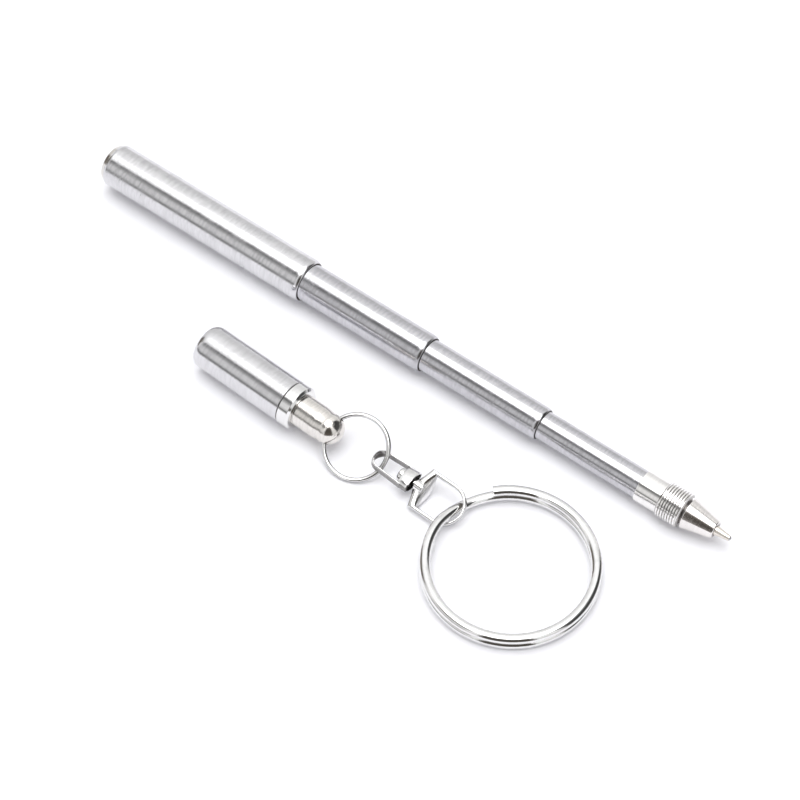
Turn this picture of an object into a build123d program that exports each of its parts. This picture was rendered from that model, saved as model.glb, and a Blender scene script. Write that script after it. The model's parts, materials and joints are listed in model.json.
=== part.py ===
from build123d import *
import math
import os

# A telescopic key-ring pen, drawn out and lying on a table, with its screw cap taken off.
# Millimetres. The pen lies along +X with its point forward, the table is Z = 0, and the origin is
# the middle of the whole set's footprint. The cap, its link ring, swivel and key ring lie on the -Y side.

# Driving dimensions of the telescoping tubes, from the barrel inwards
BARREL_OD = 7.0
BARREL_LENGTH = 39.2
BARREL_WALL = 0.35
SECOND_WALL = 0.30
THIRD_WALL = 0.25
FRONT_WALL = 0.25
SECOND_SHOWING = 22.6
THIRD_SHOWING = 20.9
FRONT_SHOWING = 17.4
SLIDE_GAP = 0.125
REVEAL = 0.5

# Driving dimensions of the tube ends: rolled mouths, flared stops and split friction sleeves
LIP_LENGTH = 0.6
LIP_CLEARANCE = 0.05
LIP_RAMP = 0.15
MOUTH_ROUND = 0.12
FLARE_LENGTH = 0.8
FLARE_CLEARANCE = 0.04
SEAT_DEPTH = 0.1
SLEEVE_LENGTH = 4.6
SLEEVE_SLOT = 0.9
SLEEVE_INNER_CLEARANCE = 0.02
SLEEVE_OUTER_CLEARANCE = 0.03
SLEEVE_END_CLEARANCE = 0.05
STOP_GAP = 0.1
PLUG_FLANGE = 0.8
PLUG_DEPTH = 2.0
PLUG_EDGE = 0.1

# Driving dimensions of the nose and the refill
COLLAR_STEP = 0.275
COLLAR_LENGTH = 3.7
COLLAR_SPIGOT = 4.0
THREAD_DEPTH = 0.25
THREAD_LENGTH = 3.8
RELIEF_LENGTH = 0.3
RELIEF_DEPTH = 0.55
STUD_LENGTH = 2.4
STUD_WALL = 0.5
CONE_LENGTH = 4.8
CONE_SET_BACK = 0.05
CONE_FRONT_OD = 2.8
CONE_LIP = 0.8
CONE_ROUND = 0.2
POINT_LENGTH = 2.55
POINT_OD = 1.5
POINT_BODY = 2.0
POINT_SPIGOT = 3.0
POINT_RIM = 0.07
POINT_CLEARANCE = 0.03
BALL_OD = 0.7
BALL_SHOWING = 0.23
BALL_CLEARANCE = 0.01
FEED_OD = 0.4
REFILL_OD = 2.3
REFILL_WALL = 0.3
REFILL_LENGTH = 31.0
REFILL_CLEARANCE = 0.05

# Driving dimensions of the cap
CAP_LENGTH = 16.7
CAP_WALL = 0.35
CAP_MOUTH_CLEARANCE = 0.1
CAP_LIP = 0.7
CAP_RIM_FLAT = 0.05
NUT_OVERRUN = 0.3
NUT_CLEARANCE = 0.05
BAND_LENGTH = 2.1
BAND_SPIGOT = 2.3
BAND_CHAMFER = 0.35
BAND_LINE = 0.1
STEM_OD = 4.4
STEM_WALL = 0.6
NECK_OD = 5.0
NECK_LENGTH = 3.4
DOME_RADIUS = 2.4
DOME_CENTRE = 5.2
DOME_START = 100.0
EYE_OD = 1.6
EYE_PLACE = 5.7
TIP_ROOM = 0.6

# Driving dimensions of the link ring, the swivel and the key ring
LINK_WIRE = 0.7
LINK_OD = 10.3
LINK_SPLIT = 4.0
SHACKLE_LENGTH = 7.3
SHACKLE_END_WIDTH = 3.5
SHACKLE_BASE_WIDTH = 4.1
SHACKLE_BAR = 0.5
SHACKLE_HEIGHT = 0.8
SHACKLE_BASE = 1.7
SHACKLE_HUB_HEIGHT = 2.4
SHACKLE_ROUND = 0.15
RIVET_OD = 1.2
RIVET_HEAD_OD = 2.1
RIVET_HEAD = 0.8
RIVET_SEAT = 1.0
RIVET_PLAY = 0.06
SWIVEL_GAP = 0.2
BOW_LENGTH = 7.6
BOW_WIDTH = 6.6
BOW_BAR = 0.75
BOW_HEIGHT = 1.05
BOW_BACK = 1.1
BOW_BOSS_OD = 2.0
BOW_BASE = 1.15
BOW_HOLLOW = 0.6
BOW_ROUND = 0.25
RING_OD = 26.0
RING_WIRE_WIDTH = 1.5
RING_WIRE_HEIGHT = 1.0
RING_COIL_GAP = 0.42
RING_END_ANGLE = 25.0
RING_CLIMB_ANGLE = 21.0
GAP_POINTS = 180

# How the set lies on the table
EYE_X = 58.6
EYE_Y = -19.6
CAP_TURN = -2.65
CAP_ROLL = 29.0
LINK_SLIDE = 5.0
LINK_SLACK = 0.2
SWIVEL_TURN = -1.5
SHACKLE_ROLL = -9.0
BOW_ROLL = 28.0
BOW_CROSS_ALONG = 5.8
BOW_CROSS_NEAR = 0.45
RING_TURN = 170.0
TABLE_CLEARANCE = 0.03

# Radial room between pieces that are pressed or screwed together for good
FIT = 0.01

# Radii of the tubes: each tube slides in the bore of the one outside it
barrel_r = BARREL_OD / 2
barrel_bore = barrel_r - BARREL_WALL
second_r = barrel_bore - SLIDE_GAP
second_bore = second_r - SECOND_WALL
third_r = second_bore - SLIDE_GAP
third_bore = third_r - THIRD_WALL
front_r = third_bore - SLIDE_GAP
front_bore = front_r - FRONT_WALL

# Places along the pen, from its rear end
engaged = LIP_LENGTH + STOP_GAP + SLEEVE_LENGTH + SLEEVE_END_CLEARANCE + FLARE_LENGTH
barrel_mouth = BARREL_LENGTH
second_mouth = barrel_mouth + SECOND_SHOWING
third_mouth = second_mouth + THIRD_SHOWING
collar_rear = third_mouth + FRONT_SHOWING
thread_rear = collar_rear + COLLAR_LENGTH
thread_front = thread_rear + THREAD_LENGTH
cone_rear = thread_front + RELIEF_LENGTH
cone_front = cone_rear + CONE_LENGTH
pen_tip = cone_front + POINT_LENGTH
second_travel = SECOND_SHOWING - REVEAL
third_travel = THIRD_SHOWING - REVEAL
front_travel = FRONT_SHOWING - REVEAL

# Radii of the nose
collar_r = front_r + COLLAR_STEP
thread_r = collar_r + THREAD_DEPTH
cone_r = collar_r - CONE_SET_BACK
refill_r = REFILL_OD / 2
refill_hole = refill_r + REFILL_CLEARANCE
stud_r = refill_hole + STUD_WALL
ball_r = BALL_OD / 2
ball_x = pen_tip - ball_r

# Radii and places of the cap, from its mouth
cap_r = barrel_r
cap_bore = cap_r - CAP_WALL
cap_mouth_r = thread_r + CAP_MOUTH_CLEARANCE
closed_gap = 3 * REVEAL
nut_from = closed_gap + COLLAR_LENGTH - NUT_OVERRUN
nut_to = closed_gap + COLLAR_LENGTH + THREAD_LENGTH + NUT_OVERRUN
nut_bore = thread_r + NUT_CLEARANCE
band_front = CAP_LENGTH + BAND_LENGTH
stem_rear = CAP_LENGTH - BAND_SPIGOT
eye_place = band_front + EYE_PLACE
dome_centre = band_front + DOME_CENTRE
tip_room_end = closed_gap + pen_tip - collar_rear + TIP_ROOM


def outline(corners, rounds=None):
    """Face inside a closed run of corners in the X-Y plane; rounds gives roundings by corner number."""
    rounds = rounds or {}
    count = len(corners)
    cut = []
    for number, corner in enumerate(corners):
        here = Vector(*corner)
        before = (Vector(*corners[number - 1]) - here).normalized()
        after = (Vector(*corners[(number + 1) % count]) - here).normalized()
        half_angle = math.radians(before.get_angle(after)) / 2
        step = rounds.get(number, 0) / math.tan(half_angle)
        cut.append((here + before * step, here + after * step, before * -1))
    edges = []
    for number, (start, end, heading) in enumerate(cut):
        if number in rounds:
            edges.append(TangentArc(start, end, tangent=heading))
        edges.append(Line(end, cut[(number + 1) % count][0]))
    return make_face(edges)


def turned(corners, rounds=None):
    """Solid turned about the X axis from a half section of (place, radius) corners."""
    return revolve(outline(corners, rounds), Axis.X)


def along(origin, axis, side):
    """Placement whose local X runs along axis and whose local Y lies towards side."""
    return Plane(origin=origin, x_dir=axis, z_dir=axis.cross(side)).location


def direction(turn, lift=0.0):
    """Unit vector turned about Z from +X and lifted from the table, both in degrees."""
    turn = math.radians(turn)
    lift = math.radians(lift)
    level = math.cos(lift)
    return Vector(level * math.cos(turn), level * math.sin(turn), math.sin(lift))


def make_barrel_tube():
    """Outer tube: plain bore, with its mouth rolled in over the second tube."""
    lip = second_r + LIP_CLEARANCE
    ramp_end = barrel_mouth - LIP_LENGTH
    return turned(
        [
            (PLUG_FLANGE, barrel_bore),
            (PLUG_FLANGE, barrel_r),
            (barrel_mouth, barrel_r),
            (barrel_mouth, lip),
            (ramp_end, lip),
            (ramp_end - LIP_RAMP, barrel_bore),
        ],
        {2: MOUTH_ROUND},
    )


def make_rear_plug():
    """Turned end plug: a flange with a rounded edge and a spigot pressed into the barrel."""
    spigot_end = PLUG_FLANGE + PLUG_DEPTH
    spigot_r = barrel_bore - FIT
    return turned(
        [
            (0, 0),
            (0, barrel_r),
            (PLUG_FLANGE, barrel_r),
            (PLUG_FLANGE, spigot_r),
            (spigot_end, spigot_r),
            (spigot_end, 0),
        ],
        {1: PLUG_FLANGE - PLUG_EDGE},
    )


def make_sliding_tube(host_mouth, mouth, radius, bore, host_bore, lip=None):
    """Inner tube: flared stop and sleeve seat at the rear, rolled mouth where another tube slides in it."""
    rear = host_mouth - engaged
    flare = host_bore - FLARE_CLEARANCE
    seat = radius - SEAT_DEPTH
    seat_rear = rear + FLARE_LENGTH
    seat_front = host_mouth - LIP_LENGTH - STOP_GAP + SLEEVE_END_CLEARANCE
    corners = [
        (rear, bore),
        (rear, flare),
        (seat_rear, flare),
        (seat_rear, seat),
        (seat_front, seat),
        (seat_front, radius),
        (mouth, radius),
    ]
    if lip is None:
        return turned(corners + [(mouth, bore)])
    ramp_end = mouth - LIP_LENGTH
    return turned(corners + [(mouth, lip), (ramp_end, lip), (ramp_end - LIP_RAMP, bore)], {6: MOUTH_ROUND})


def make_friction_sleeve(host_mouth, radius, host_bore):
    """Split bronze sleeve that sits on a tube's rear seat and grips the bore round it."""
    front = host_mouth - LIP_LENGTH - STOP_GAP
    rear = front - SLEEVE_LENGTH
    inner = radius - SEAT_DEPTH + SLEEVE_INNER_CLEARANCE
    outer = host_bore - SLEEVE_OUTER_CLEARANCE
    ring = turned([(rear, inner), (rear, outer), (front, outer), (front, inner)])
    slot = Pos((rear + front) / 2, 0, outer) * Box(2 * SLEEVE_LENGTH, SLEEVE_SLOT, outer)
    return ring - slot


def make_thread_collar():
    """Collar pressed into the front tube: plain ring, thread at its crest size, socket for the cone."""
    spigot_r = front_bore - FIT
    spigot_rear = collar_rear - COLLAR_SPIGOT
    socket_rear = thread_front - STUD_LENGTH - FIT
    return turned(
        [
            (spigot_rear, refill_hole),
            (spigot_rear, spigot_r),
            (collar_rear, spigot_r),
            (collar_rear, collar_r),
            (thread_rear, collar_r),
            (thread_rear + THREAD_DEPTH, thread_r),
            (thread_front - THREAD_DEPTH, thread_r),
            (thread_front, thread_r - THREAD_DEPTH),
            (thread_front, stud_r + FIT),
            (socket_rear, stud_r + FIT),
            (socket_rear, refill_hole),
        ]
    )


def make_nose_cone():
    """Cone screwed into the collar: stud, undercut, taper and a front lip that holds the refill."""
    relief_r = cone_r - RELIEF_DEPTH
    stud_rear = thread_front - STUD_LENGTH
    shoulder = cone_front - CONE_LIP
    point_hole = POINT_OD / 2 + POINT_CLEARANCE
    return turned(
        [
            (stud_rear, refill_hole),
            (stud_rear, stud_r),
            (thread_front, stud_r),
            (thread_front, relief_r),
            (cone_rear, relief_r),
            (cone_rear, cone_r),
            (cone_front, CONE_FRONT_OD / 2),
            (cone_front, point_hole),
            (shoulder, point_hole),
            (shoulder, refill_hole),
        ],
        {6: CONE_ROUND},
    )


def make_refill_tip():
    """Writing point: spigot in the ink tube, shoulder behind the cone's lip, taper, socket and ink feed."""
    shoulder = cone_front - CONE_LIP
    body_rear = shoulder - POINT_BODY
    spigot_rear = body_rear - POINT_SPIGOT
    spigot_r = refill_r - REFILL_WALL - FIT
    rim_x = pen_tip - BALL_SHOWING
    point = turned(
        [
            (spigot_rear, FEED_OD / 2),
            (spigot_rear, spigot_r),
            (body_rear, spigot_r),
            (body_rear, refill_r),
            (shoulder, refill_r),
            (shoulder, POINT_OD / 2),
            (cone_front, POINT_OD / 2),
            (rim_x, ball_r + POINT_RIM),
            (rim_x, FEED_OD / 2),
        ]
    )
    return point - Pos(ball_x, 0, 0) * Sphere(ball_r + BALL_CLEARANCE)


def make_refill_tube():
    """Plastic ink tube behind the point."""
    front = cone_front - CONE_LIP - POINT_BODY
    rear = front - REFILL_LENGTH
    bore = refill_r - REFILL_WALL
    return turned([(rear, bore), (rear, refill_r), (front, refill_r), (front, bore)])


def make_cap_tube():
    """Cap tube with its mouth edge rolled in to just clear the thread."""
    rim_round = cap_r - cap_mouth_r - CAP_RIM_FLAT
    tube = turned(
        [
            (0, cap_mouth_r),
            (0, cap_r),
            (CAP_LENGTH, cap_r),
            (CAP_LENGTH, cap_bore),
            (CAP_LIP, cap_bore),
            (CAP_LIP, cap_mouth_r),
        ],
        {1: rim_round},
    )
    rims = tube.edges().filter_by(GeomType.CIRCLE).group_by(Axis.X)[-1]
    return chamfer(rims.sort_by(SortBy.LENGTH)[-1], BAND_LINE)


def make_cap_nut():
    """Threaded sleeve pressed into the cap, at the collar's thread when the pen is shut."""
    outer = cap_bore - FIT
    return turned([(nut_from, nut_bore), (nut_from, outer), (nut_to, outer), (nut_to, nut_bore)])


def make_cap_band():
    """Polished band that closes the cap tube, with the hole for the finial's stem."""
    spigot_r = cap_bore - FIT
    hole = STEM_OD / 2
    return turned(
        [
            (stem_rear, hole),
            (stem_rear, spigot_r),
            (CAP_LENGTH, spigot_r),
            (CAP_LENGTH, cap_r - BAND_LINE),
            (CAP_LENGTH + BAND_LINE, cap_r),
            (band_front - BAND_CHAMFER, cap_r),
            (band_front, cap_r - BAND_CHAMFER),
            (band_front, hole),
        ]
    )


def make_cap_finial():
    """Finial: hollow stem through the band, neck, taper and domed end with a cross hole for the ring."""
    stem_r = STEM_OD / 2 - FIT
    stem_bore = STEM_OD / 2 - STEM_WALL
    neck_r = NECK_OD / 2
    neck_end = band_front + NECK_LENGTH

    def on_dome(angle):
        """Point of the dome's half section, by its angle from the tip."""
        turn = math.radians(angle)
        return (dome_centre + DOME_RADIUS * math.cos(turn), DOME_RADIUS * math.sin(turn))

    shoulder = on_dome(DOME_START)
    tip = (dome_centre + DOME_RADIUS, 0)
    sides = Polyline(
        tip,
        (tip_room_end, 0),
        (tip_room_end, stem_bore),
        (stem_rear, stem_bore),
        (stem_rear, stem_r),
        (band_front, stem_r),
        (band_front, neck_r),
        (neck_end, neck_r),
        shoulder,
    )
    dome = ThreePointArc(shoulder, on_dome(DOME_START / 2), tip)
    body = revolve(make_face([*sides.edges(), dome]), Axis.X)
    eye = Pos(eye_place, 0, 0) * Rot(90, 0, 0) * Cylinder(EYE_OD / 2, 2 * NECK_OD)
    return body - eye


def make_link_ring():
    """Jump ring bent from one wire, its two ends meeting inside the finial's hole, on local +X."""
    half_split = LINK_SPLIT / 2
    start = direction(half_split)
    across = Plane(origin=start * link_r, x_dir=start, z_dir=direction(half_split + 90))
    section = across * Circle(LINK_WIRE / 2)
    return revolve(section, Axis.Z, revolution_arc=360 - LINK_SPLIT)


def loop_face(end_half, base_half, base_x):
    """Face of a loop, from its round end at x = 0 to its straight base at base_x."""
    bend = end_half
    side = Line((base_x, base_half), (bend, end_half))
    arc = ThreePointArc((bend, end_half), (0, 0), (bend, -end_half))
    other = Line((bend, -end_half), (base_x, -base_half))
    base = Line((base_x, -base_half), (base_x, base_half))
    return make_face([side, arc, other, base])


def make_shackle():
    """Swivel's small loop: two arms from a round end to an oval hub that turns on the rivet."""
    hub_rear = SHACKLE_LENGTH - SHACKLE_BASE
    end_half = SHACKLE_END_WIDTH / 2
    base_half = SHACKLE_BASE_WIDTH / 2
    outer = loop_face(end_half, base_half, SHACKLE_LENGTH)
    inner = Pos(SHACKLE_BAR, 0) * loop_face(
        end_half - SHACKLE_BAR, base_half - SHACKLE_BAR, hub_rear - SHACKLE_BAR
    )
    arms = extrude(outer - inner, SHACKLE_HEIGHT / 2, both=True)
    arms = fillet(arms.edges().filter_by(Plane.XY), SHACKLE_ROUND)
    hub_face = Plane(origin=(hub_rear, 0, 0), x_dir=(0, 1, 0), z_dir=(1, 0, 0)) * Ellipse(
        base_half, SHACKLE_HUB_HEIGHT / 2
    )
    hub = extrude(hub_face, SHACKLE_BASE)
    hub_middle = SHACKLE_LENGTH - SHACKLE_BASE / 2
    hole = Pos(hub_middle, 0, 0) * Rot(0, 90, 0) * Cylinder(RIVET_OD / 2 + RIVET_PLAY, 2 * SHACKLE_BASE)
    return arms + hub - hole


def make_rivet():
    """Swivel rivet: domed head inside the small loop, shank through its hub and into the bow's boss."""
    head_x = SHACKLE_LENGTH - SHACKLE_BASE - RIVET_PLAY
    shank_end = bow_x - BOW_BACK + RIVET_SEAT
    head_r = RIVET_HEAD_OD / 2
    shank_r = RIVET_OD / 2
    return turned(
        [
            (head_x - RIVET_HEAD, 0),
            (head_x - RIVET_HEAD, head_r),
            (head_x, head_r),
            (head_x, shank_r),
            (shank_end, shank_r),
            (shank_end, 0),
        ],
        {1: RIVET_HEAD / 2},
    )


def make_bow():
    """Swivel's large D-shaped loop, thickened behind its base into a round boss that holds the rivet."""
    half = BOW_WIDTH / 2
    boss_half = BOW_BOSS_OD / 2
    inner_half = half - BOW_BAR
    bend = BOW_LENGTH - half
    outer = make_face(
        [
            Line((-BOW_BACK, boss_half), (0, half)),
            Line((0, half), (bend, half)),
            ThreePointArc((bend, half), (BOW_LENGTH, 0), (bend, -half)),
            Line((bend, -half), (0, -half)),
            Line((0, -half), (-BOW_BACK, -boss_half)),
            Line((-BOW_BACK, -boss_half), (-BOW_BACK, boss_half)),
        ]
    )
    inner = make_face(
        [
            ThreePointArc((BOW_BASE, -inner_half), (BOW_BASE - BOW_HOLLOW, 0), (BOW_BASE, inner_half)),
            Line((BOW_BASE, inner_half), (bend, inner_half)),
            ThreePointArc((bend, inner_half), (BOW_LENGTH - BOW_BAR, 0), (bend, -inner_half)),
            Line((bend, -inner_half), (BOW_BASE, -inner_half)),
        ]
    )
    strip = extrude(outer - inner, BOW_HEIGHT / 2, both=True)
    strip = fillet(strip.edges().filter_by(Plane.XY), BOW_ROUND)
    boss_length = BOW_BACK + BOW_BASE - BOW_HOLLOW
    boss = Pos(boss_length / 2 - BOW_BACK, 0, 0) * Rot(0, 90, 0) * Cylinder(boss_half, boss_length)
    hole = Pos(-BOW_BACK, 0, 0) * Rot(0, 90, 0) * Cylinder(RIVET_OD / 2 + FIT, 2 * RIVET_SEAT)
    return strip + boss - hole


def ring_point(angle, level):
    """Point of the key ring's centre line at an angle from local +X, on a coil's level."""
    return direction(angle) * ring_r + Vector(0, 0, level)


def ring_section(angle, level):
    """Oval section of the key ring's wire at an angle, square to the wire."""
    plane = Plane(origin=ring_point(angle, level), x_dir=direction(angle), z_dir=direction(angle + 90))
    return plane * Ellipse(RING_WIRE_WIDTH / 2, RING_WIRE_HEIGHT / 2)


def biarc(start, start_heading, end, end_heading):
    """Two arcs that join two points smoothly with the given headings, one at each end."""
    reach = end - start
    both = start_heading + end_heading
    spare = 2 * (1 - start_heading.dot(end_heading))
    lean = reach.dot(both)
    step = (math.sqrt(lean * lean + spare * reach.dot(reach)) - lean) / spare
    middle = (start + start_heading * step + end - end_heading * step) * 0.5
    return [
        TangentArc(start, middle, tangent=start_heading),
        TangentArc(end, middle, tangent=end_heading * -1),
    ]


def ring_climb():
    """Centre line of the wire where it climbs from the lower coil to the upper one, across local +X."""
    return biarc(
        ring_point(-RING_CLIMB_ANGLE, -ring_level),
        direction(90 - RING_CLIMB_ANGLE),
        ring_point(RING_CLIMB_ANGLE, ring_level),
        direction(90 + RING_CLIMB_ANGLE),
    )


def make_key_ring():
    """Split ring: one flat-oval wire, nearly two turns, climbing from the lower to the upper coil at +X."""
    turn = 360 - RING_END_ANGLE - RING_CLIMB_ANGLE
    lower = revolve(ring_section(RING_END_ANGLE, -ring_level), Axis.Z, revolution_arc=turn)
    bridge = sweep(ring_section(-RING_CLIMB_ANGLE, -ring_level), path=Wire(ring_climb()))
    upper = revolve(ring_section(RING_CLIMB_ANGLE, ring_level), Axis.Z, revolution_arc=turn)
    return lower + bridge + upper


def ring_self_gap():
    """Least room between the key ring's turns, from points along its wire half a turn or more apart."""
    turn = 360 - RING_END_ANGLE - RING_CLIMB_ANGLE
    first, second = ring_climb()
    shares = [number / GAP_POINTS for number in range(GAP_POINTS + 1)]
    wire = [ring_point(RING_END_ANGLE + turn * share, -ring_level) for share in shares]
    wire += [first @ share for share in shares] + [second @ (1 - share) for share in shares]
    wire += [ring_point(RING_CLIMB_ANGLE + turn * share, ring_level) for share in shares]
    apart = GAP_POINTS // 2
    nearest = min(
        (wire[number] - other).length for number in range(len(wire)) for other in wire[number + apart :]
    )
    return nearest - RING_WIRE_HEIGHT


# The pen leans forward a little, because it rests on the barrel's mouth and on the thread
pen_lean = math.atan2(barrel_r - thread_r, thread_front - THREAD_DEPTH - barrel_mouth + MOUTH_ROUND)
pen_axis = Vector(math.cos(pen_lean), 0, -math.sin(pen_lean))
pen_rear = Vector(0, 0, (barrel_mouth - MOUTH_ROUND) * math.sin(pen_lean) + barrel_r * math.cos(pen_lean))
pen_place = along(pen_rear, pen_axis, Vector(0, 1, 0))

# The cap lies on its side, rolled so that the eye's far end is up
cap_axis = direction(CAP_TURN)
cap_side = direction(CAP_TURN + 90)
eye_axis = cap_side * math.cos(math.radians(CAP_ROLL)) + Vector(0, 0, math.sin(math.radians(CAP_ROLL)))
eye = Vector(EYE_X, EYE_Y, cap_r)
cap_mouth = eye - cap_axis * eye_place
cap_place = along(cap_mouth, cap_axis, eye_axis)

# The link ring hangs forward from the eye until its wire meets the table
link_r = (LINK_OD - LINK_WIRE) / 2
eye_half_length = math.sqrt(DOME_RADIUS**2 - (EYE_PLACE - DOME_CENTRE) ** 2)
link_sag = link_r - math.sqrt(link_r**2 - eye_half_length**2)
link_reach = link_r - link_sag / 2
eye_down = cap_axis.cross(eye_axis) * -1


def link_heading(drop):
    """Direction from the eye to the link ring's centre, for a drop angle in degrees."""
    return cap_axis * math.cos(math.radians(drop)) + eye_down * math.sin(math.radians(drop))


def link_lowest(drop):
    """Height of the link ring's lowest point over the table, for a drop angle in degrees."""
    heading = link_heading(drop)
    return eye.Z + link_reach * heading.Z - link_r * math.hypot(heading.Z, eye_axis.Z) - LINK_WIRE / 2


drop_low, drop_high = -90.0, 90.0
for halving in range(50):
    link_drop = (drop_low + drop_high) / 2
    if link_lowest(link_drop) > TABLE_CLEARANCE:
        drop_low = link_drop
    else:
        drop_high = link_drop
link_dir = link_heading(link_drop)
link_centre = eye + link_dir * link_reach
link_place = along(link_centre, link_dir * -1, eye_axis * -1)

# The swivel's small loop is threaded on the link ring's far side
slide = math.radians(LINK_SLIDE)
link_cross = link_centre + (link_dir * math.cos(slide) + eye_axis * math.sin(slide)) * link_r
link_tangent = eye_axis * math.cos(slide) - link_dir * math.sin(slide)
shackle_cross = SHACKLE_END_WIDTH / 2 + LINK_SLACK
bow_x = SHACKLE_LENGTH + SWIVEL_GAP + BOW_BACK

# The swivel rises just enough for the bow's near corner to lie on the table
bow_roll = math.radians(BOW_ROLL)
bow_rise = BOW_WIDTH / 2 * math.sin(bow_roll) + BOW_HEIGHT / 2 * math.cos(bow_roll) + TABLE_CLEARANCE
swivel_lift = math.degrees(math.asin((bow_rise - link_cross.Z) / (bow_x - shackle_cross)))
swivel_axis = direction(SWIVEL_TURN, swivel_lift)
swivel_side = direction(SWIVEL_TURN + 90)
swivel_up = swivel_axis.cross(swivel_side)
swivel_start = link_cross - swivel_axis * shackle_cross


def swivel_place(origin, roll):
    """Placement on the swivel's axis, rolled so that a positive roll lifts the far side."""
    side = swivel_side * math.cos(math.radians(roll)) + swivel_up * math.sin(math.radians(roll))
    return along(origin, swivel_axis, side)


shackle_place = swivel_place(swivel_start, SHACKLE_ROLL)
bow_base = swivel_start + swivel_axis * bow_x
bow_place = swivel_place(bow_base, BOW_ROLL)
bow_side = swivel_side * math.cos(bow_roll) + swivel_up * math.sin(bow_roll)

# The key ring's climbing wire passes through the bow, and its far side lies on the table
ring_r = (RING_OD - RING_WIRE_WIDTH) / 2
ring_level = (RING_WIRE_HEIGHT + RING_COIL_GAP) / 2
ring_half_height = ring_level + RING_WIRE_HEIGHT / 2
ring_cross = bow_base + swivel_axis * BOW_CROSS_ALONG - bow_side * BOW_CROSS_NEAR
ring_far = ring_r + RING_OD / 2
ring_drop = math.asin((ring_cross.Z - TABLE_CLEARANCE) / math.hypot(ring_far, ring_half_height))
ring_tilt = math.degrees(ring_drop - math.atan2(ring_half_height, ring_far))
ring_out = direction(RING_TURN, ring_tilt)
ring_side = direction(RING_TURN + 90)
ring_centre = ring_cross - ring_out * ring_r
ring_place = along(ring_centre, ring_out, ring_side)
ring_up = ring_out.cross(ring_side)
climb_slope = math.atan2(2 * ring_level, 2 * ring_r * math.sin(math.radians(RING_CLIMB_ANGLE)))
ring_tangent = ring_side * math.cos(2 * climb_slope) + ring_up * math.sin(2 * climb_slope)

# The lips of the second and third tubes run along the tube that slides in them
second_lip = third_r + LIP_CLEARANCE
third_lip = front_r + LIP_CLEARANCE

placed = {
    "barrel_tube": pen_place * make_barrel_tube(),
    "rear_plug": pen_place * make_rear_plug(),
    "second_tube": pen_place
    * make_sliding_tube(barrel_mouth, second_mouth, second_r, second_bore, barrel_bore, second_lip),
    "third_tube": pen_place
    * make_sliding_tube(second_mouth, third_mouth, third_r, third_bore, second_bore, third_lip),
    "front_tube": pen_place * make_sliding_tube(third_mouth, collar_rear, front_r, front_bore, third_bore),
    "second_tube_sleeve": pen_place * make_friction_sleeve(barrel_mouth, second_r, barrel_bore),
    "third_tube_sleeve": pen_place * make_friction_sleeve(second_mouth, third_r, second_bore),
    "front_tube_sleeve": pen_place * make_friction_sleeve(third_mouth, front_r, third_bore),
    "thread_collar": pen_place * make_thread_collar(),
    "nose_cone": pen_place * make_nose_cone(),
    "refill_tip": pen_place * make_refill_tip(),
    "refill_tube": pen_place * make_refill_tube(),
    "writing_ball": pen_place * Pos(ball_x, 0, 0) * Sphere(ball_r),
    "cap_tube": cap_place * make_cap_tube(),
    "cap_nut": cap_place * make_cap_nut(),
    "cap_band": cap_place * make_cap_band(),
    "cap_finial": cap_place * make_cap_finial(),
    "link_ring": link_place * make_link_ring(),
    "swivel_shackle": shackle_place * make_shackle(),
    "swivel_rivet": shackle_place * make_rivet(),
    "swivel_bow": bow_place * make_bow(),
    "key_ring": ring_place * make_key_ring(),
}

# The origin goes to the middle of the footprint, on the table
boxes = [piece.bounding_box() for piece in placed.values()]
low_corner = Vector(min(b.min.X for b in boxes), min(b.min.Y for b in boxes), min(b.min.Z for b in boxes))
high_corner = Vector(max(b.max.X for b in boxes), max(b.max.Y for b in boxes), max(b.max.Z for b in boxes))
middle = (low_corner + high_corner) * 0.5
origin = Vector(middle.X, middle.Y, low_corner.Z)
os.makedirs("parts", exist_ok=True)
for name, piece in placed.items():
    export_step(Pos(origin * -1) * piece, f"parts/{name}.step")


def told(spot):
    """A vector as text."""
    return f"({spot.X:.4f}, {spot.Y:.4f}, {spot.Z:.4f})"


print("pen rear", told(pen_rear - origin), "axis", told(pen_axis))
print("slide travels", round(second_travel, 3), round(third_travel, 3), round(front_travel, 3))
print("writing ball", told(pen_rear + pen_axis * ball_x - origin))
print("cap mouth", told(cap_mouth - origin), "axis", told(cap_axis))
print("cap eye", told(eye - origin), "axis", told(eye_axis), "link ring drops by", round(link_drop, 2))
print("link ring crosses the swivel at", told(link_cross - origin), "axis", told(link_tangent))
print("swivel", told(swivel_start - origin), "axis", told(swivel_axis))
print("key ring crosses the bow at", told(ring_cross - origin), "axis", told(ring_tangent))
print("key ring centre", told(ring_centre - origin), "least gap to itself", round(ring_self_gap(), 3))
print("overall size", told(high_corner - low_corner))
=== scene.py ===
# %% [markdown]
# # A telescopic key-ring pen
# The real pen is four drawn steel tubes that slide into one another, with a turned nose that holds a
# short refill. Its cap screws over the nose and carries a link ring, a swivel and a split key ring.
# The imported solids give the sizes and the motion. This script dresses each one that shows with a smooth,
# finely divided surface and a worked metal finish, then lights the set as on a white product table.

import json

import bmesh
import bpy
import numpy as np
from mathutils import Matrix, Vector


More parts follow.
